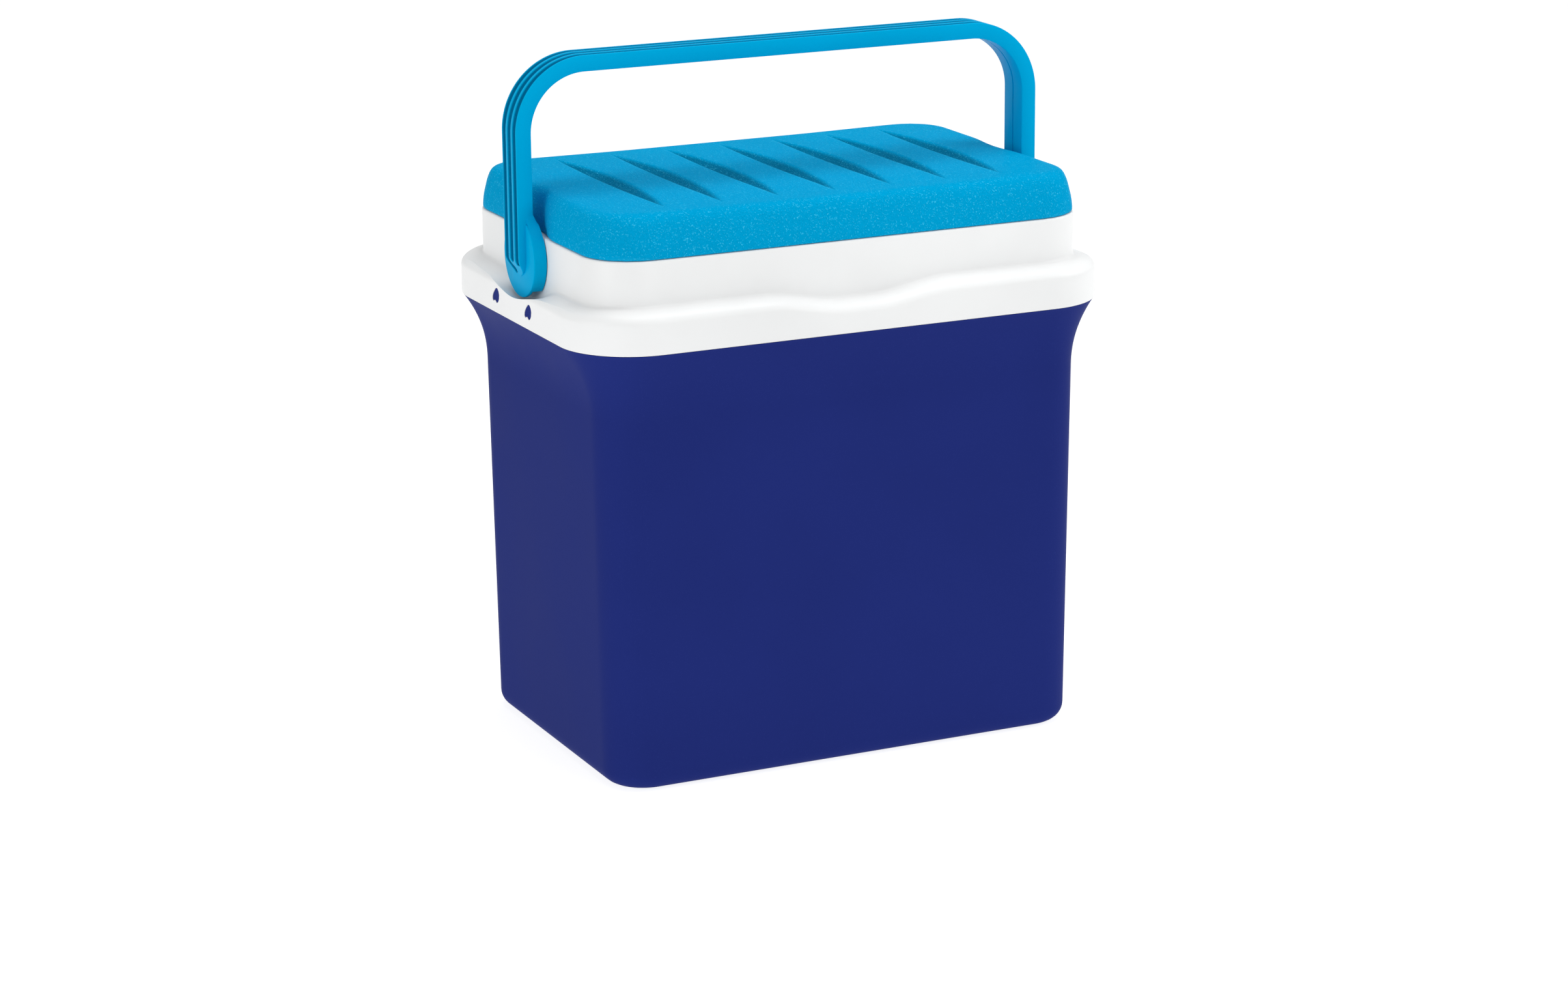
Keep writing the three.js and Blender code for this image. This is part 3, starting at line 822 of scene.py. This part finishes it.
def plate(name, drop, stations, side):
    """A faired disc through stations along X, each with its inset and the height of its top."""
    rows = []
    for x, inset, top in stations:
        half = BAR_HALF - DISC_INSET - inset
        shape = faired_disc(FLANGE_RADIUS - inset, half, drop - inset, top)
        rows.append([(side * x, y, z) for y, z in shape])
    if side < 0:
        rows.reverse()
    return loft(name, rows)


FLANGE_STATIONS = [              # x, inset of the outline and height of its top, with a rounded edge
    (FLANGE_INNER, 0, HUB_TOP),
    (FLANGE_OUTER - 0.6, 0, HUB_TOP),
    (FLANGE_OUTER - 0.2, 0.2, HUB_TOP),
    (FLANGE_OUTER, 0.6, HUB_TOP),
]
HUB_STATIONS = [                 # the hub leans out of the arm's inner face
    (HUB_INNER, 0, HUB_TOP),
    (HANDLE_X - BAR_THICKNESS + DISC_SINK, 0, FAIRING_TOP),
    (FLANGE_INNER + OVERLAP, 0, FAIRING_TOP),
]


def flute_share(x, y, z):
    """How deep in a flute a place on the handle lies, from 0 to 1."""
    lift = z - PIVOT
    aside = abs(x) - HANDLE_X + HANDLE_CORNER
    above = z - HANDLE_TOP + HANDLE_CORNER
    under = HANDLE_CORNER - math.hypot(max(aside, 0), max(above, 0))
    if under > tip_sink(lift) + FLUTE_DEPTH + HOLLOW_MARGIN:
        return 0
    return flute_depth(y, lift) / FLUTE_DEPTH


def carry_handle():
    """The bar over both arms, with a flange, a hub and a pivot pin at each foot."""
    rows = []
    for angle, x, z, lift in handle_stations():
        section = bar_section(lift)
        rows.append([(x - d * math.cos(angle), a, z - d * math.sin(angle)) for d, a in section])
    handle = loft("handle", rows)
    parts = []
    for side in (1, -1):
        parts.append(plate("flange", FLANGE_RADIUS, FLANGE_STATIONS, side))
        parts.append(plate("hub", HUB_DROP, HUB_STATIONS, side))
        parts.append(endwise("pin", circle(PIN_RADIUS), PIN_INNER, HUB_INNER + OVERLAP, side))
    combined(handle, parts, "UNION")
    # flute depths drive the painted shade in the handle's flutes
    mark_hollows(handle, flute_share)
    return soften(handle)


# ---- Materials ----------------------------------------------------------------------------

def new_material(name):
    """A material with nodes, its node list, its links and its shader."""
    material = bpy.data.materials.new(name)
    material.use_nodes = True
    nodes = material.node_tree.nodes
    return material, nodes, material.node_tree.links, nodes["Principled BSDF"]


def srgb(red, green, blue):
    """A colour given as 0 to 255 display values, as the linear values a shader takes."""
    linear = []
    for value in (red, green, blue):
        v = value / 255
        linear.append(v / 12.92 if v <= 0.04045 else ((v + 0.055) / 1.055) ** 2.4)
    return (*linear, 1)


def noise(nodes, links, where, scale, detail, roughness):
    node = nodes.new("ShaderNodeTexNoise")
    node.inputs["Scale"].default_value = scale
    node.inputs["Detail"].default_value = detail
    node.inputs["Roughness"].default_value = roughness
    links.new(where, node.inputs["Vector"])
    return node.outputs["Fac"]


def span(nodes, links, value, low, high, to_low, to_high):
    """Maps a range of one value onto a range of another."""
    node = nodes.new("ShaderNodeMapRange")
    node.inputs["From Min"].default_value = low
    node.inputs["From Max"].default_value = high
    node.inputs["To Min"].default_value = to_low
    node.inputs["To Max"].default_value = to_high
    links.new(value, node.inputs["Value"])
    return node.outputs["Result"]


def layered(nodes, links, factor, under, over):
    """Lays a colour over another colour, or over the output of an earlier layer."""
    node = nodes.new("ShaderNodeMix")
    node.data_type = "RGBA"
    if isinstance(under, tuple):
        node.inputs["A"].default_value = under
    else:
        links.new(under, node.inputs["A"])
    node.inputs["B"].default_value = over
    links.new(factor, node.inputs["Factor"])
    return node.outputs["Result"]


def relief(nodes, links, height, distance):
    node = nodes.new("ShaderNodeBump")
    node.inputs["Distance"].default_value = distance
    links.new(height, node.inputs["Height"])
    return node.outputs["Normal"]


DRIFT_SCALE = 9                  # slow drift in colour and sheen, over about 100 mm
DRIFT_SHADE = 0.95               # of the colour where the drift is darkest
DRIFT_SHEEN = 0.04               # in roughness, to both sides
WEAR = 0.3                       # share of the paler colour on rubbed edges


def plastic(name, colour, wear_and_glint_colour, groove_shade_colour, glint, gloss, roughness, grain, grain_depth, painted_glint_share):
    """Moulded polypropylene: a fine grain whose tips carry painted glints in a paler colour, a slow
    drift in colour and sheen, paler rubbed edges, painted shade darkening the grooves and flutes, and a
    reflected glint of its own colour."""
    material, nodes, links, shader = new_material(name)
    shader.inputs["Specular IOR Level"].default_value = gloss
    shader.inputs["Specular Tint"].default_value = glint
    where = nodes.new("ShaderNodeTexCoord").outputs["Object"]
    hollow = nodes.new("ShaderNodeAttribute")
    hollow.attribute_name = "hollow"
    pointed = nodes.new("ShaderNodeNewGeometry").outputs["Pointiness"]
    drift = noise(nodes, links, where, DRIFT_SCALE, detail=3, roughness=0.5)
    fine = noise(nodes, links, where, grain, detail=2, roughness=0.6)

    darker = tuple(value * DRIFT_SHADE for value in colour[:3]) + (1,)
    shade = layered(nodes, links, span(nodes, links, drift, 0.35, 0.65, 0, 1), darker, colour)
    # painted shade: grooves and flutes take a darker colour the deeper they lie
    painted_groove_shade = span(nodes, links, hollow.outputs["Fac"], 0.05, 0.4, 0, 1)
    shade = layered(nodes, links, painted_groove_shade, shade, groove_shade_colour)
    on_edge = span(nodes, links, pointed, 0.53, 0.62, 0, WEAR)
    shade = layered(nodes, links, on_edge, shade, wear_and_glint_colour)
    # painted glints: the grain's tips take the paler colour, standing in for sparkle
    painted_glint_on_tips = span(nodes, links, fine, 0.58, 0.72, 0, painted_glint_share)
    shade = layered(nodes, links, painted_glint_on_tips, shade, wear_and_glint_colour)
    links.new(shade, shader.inputs["Base Color"])

    sheen = span(nodes, links, drift, 0.3, 0.7, roughness - DRIFT_SHEEN, roughness + DRIFT_SHEEN)
    links.new(sheen, shader.inputs["Roughness"])
    links.new(relief(nodes, links, fine, grain_depth), shader.inputs["Normal"])
    return material


def foam_material():
    """Rigid foam with fine closed cells."""
    material, nodes, links, shader = new_material("foam")
    shader.inputs["Roughness"].default_value = 0.9
    where = nodes.new("ShaderNodeTexCoord").outputs["Object"]
    texture = nodes.new("ShaderNodeTexVoronoi")
    texture.inputs["Scale"].default_value = 500
    links.new(where, texture.inputs["Vector"])
    cells = texture.outputs["Distance"]
    shade = layered(nodes, links, cells, srgb(240, 231, 200), srgb(222, 208, 168))
    links.new(shade, shader.inputs["Base Color"])
    links.new(relief(nodes, links, cells, 0.0003), shader.inputs["Normal"])
    return material


def dress(made, material, body, nodes):
    """Gives a piece its material and puts it in place of its CAD nodes."""
    made.data.materials.clear()
    made.data.materials.append(material)
    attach(made, body)
    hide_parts(*nodes)


# colours in order: own colour, paler colour of rubbed edges and painted glints, painted groove shade,
# reflection tint
NAVY = plastic(
    "navy_plastic", srgb(32, 44, 113), srgb(46, 58, 132), srgb(32, 44, 113), srgb(100, 120, 200),
    gloss=0.012, roughness=0.5, grain=900, grain_depth=0.00003, painted_glint_share=0.2,
)
WHITE = plastic(
    "white_plastic", srgb(235, 236, 236), srgb(242, 242, 242), srgb(235, 236, 236), srgb(255, 255, 255),
    gloss=0.2, roughness=0.35, grain=500, grain_depth=0.00001, painted_glint_share=0,
)
# the lid's paler colour is mostly painted glint on the grain, its darker one painted groove shade
LID_CYAN = plastic(
    "lid_plastic", srgb(0, 155, 206), srgb(72, 206, 243), srgb(0, 114, 154), srgb(40, 200, 255),
    gloss=0.001, roughness=0.3, grain=880, grain_depth=0.0009, painted_glint_share=0.65,
)
HANDLE_CYAN = plastic(
    "handle_plastic", srgb(0, 162, 212), srgb(0, 172, 220), srgb(0, 96, 138), srgb(40, 200, 255),
    gloss=0.02, roughness=0.36, grain=600, grain_depth=0.00001, painted_glint_share=0.1,
)
FOAM = foam_material()

dress(outer_body(), NAVY, "body", ["outer_body"])
dress(collar_and_tub(), WHITE, "body", ["inner_tub"])
dress(lid_cover(), LID_CYAN, "lid", ["lid_cover"])
dress(lid_liner(), WHITE, "lid", ["lid_liner"])
dress(carry_handle(), HANDLE_CYAN, "handle", ["carry_handle"])
for node in ("body_insulation", "lid_insulation"):
    frame["nodes"][node].data.materials.clear()
    frame["nodes"][node].data.materials.append(FOAM)


# ---- Studio -------------------------------------------------------------------------------

FLOOR_HALF = 20000
FLOOR_GREY = 0.35
FLOOR_GLOW = 0.85
WORLD_GLOW = 0.36
CAMERA_AZIMUTH = -25.43          # degrees
CAMERA_ELEVATION = 15.57
CAMERA_ROLL = -0.425
CAMERA_DISTANCE = 2818.65
CAMERA_LENS = 91.05
AIM_HEIGHT = 193
AIM_RIGHT = 4.17                 # shifts of the aim across the view
AIM_UP = -30.13


def studio_floor():
    sides = [(-1, -1), (1, -1), (1, 1), (-1, 1)]
    corners = [(x * FLOOR_HALF, y * FLOOR_HALF, 0) for x, y in sides]
    floor = mesh_object("floor", corners, [(0, 1, 2, 3)])
    material, _, _, shader = new_material("floor")
    shader.inputs["Base Color"].default_value = (FLOOR_GREY, FLOOR_GREY, FLOOR_GREY, 1)
    shader.inputs["Roughness"].default_value = 1
    shader.inputs["Emission Color"].default_value = (1, 1, 1, 1)
    shader.inputs["Emission Strength"].default_value = FLOOR_GLOW
    floor.data.materials.append(material)


def area_light(name, size, watts, place, aim):
    """A soft rectangular lamp, in metres, turned towards its aim."""
    data = bpy.data.lights.new(name, "AREA")
    data.shape = "RECTANGLE"
    data.size, data.size_y = size
    data.energy = watts
    lamp = bpy.data.objects.new(name, data)
    lamp.location = place
    lamp.rotation_euler = (Vector(aim) - Vector(place)).to_track_quat("-Z", "Y").to_euler()
    bpy.context.scene.collection.objects.link(lamp)


def studio_world():
    world = bpy.data.worlds.new("studio")
    world.use_nodes = True
    background = world.node_tree.nodes["Background"]
    background.inputs["Color"].default_value = (1, 1, 1, 1)
    background.inputs["Strength"].default_value = WORLD_GLOW
    bpy.context.scene.world = world


def studio_camera():
    """The camera stands to the front left, a little above the lid, and far enough for a long lens."""
    azimuth = math.radians(CAMERA_AZIMUTH)
    elevation = math.radians(CAMERA_ELEVATION)
    roll = math.radians(CAMERA_ROLL)
    back = Vector((
        math.sin(azimuth) * math.cos(elevation),
        -math.cos(azimuth) * math.cos(elevation),
        math.sin(elevation),
    ))
    level_right = Vector((math.cos(azimuth), math.sin(azimuth), 0))
    level_up = back.cross(level_right)
    right = math.cos(roll) * level_right + math.sin(roll) * level_up
    up = -math.sin(roll) * level_right + math.cos(roll) * level_up
    target = Vector((0, 0, AIM_HEIGHT)) + AIM_RIGHT * right + AIM_UP * up
    data = bpy.data.cameras.new("camera")
    data.sensor_width = 36
    data.lens = CAMERA_LENS
    camera = bpy.data.objects.new("camera", data)
    matrix = camera.matrix_world.copy()
    for row in range(3):
        matrix[row][0] = right[row]
        matrix[row][1] = up[row]
        matrix[row][2] = back[row]
        matrix[row][3] = (target[row] + back[row] * CAMERA_DISTANCE) * MM
    camera.matrix_world = matrix
    bpy.context.scene.collection.objects.link(camera)
    bpy.context.scene.camera = camera


studio_floor()
area_light("key", (1.2, 1.2), 17, (1.9, -0.9, 1.5), (0, 0, 0.3))
area_light("overhead", (1.6, 1.6), 36, (0.3, 0.1, 2.5), (0, 0, 0.3))
area_light("front", (1.4, 1.0), 9, (0.3, -2.6, 0.8), (0, 0, 0.2))
area_light("left", (1.2, 1.2), 17, (-2.4, -0.6, 0.9), (0, 0, 0.2))
studio_world()
studio_camera()
bpy.context.scene.view_settings.view_transform = "Standard"
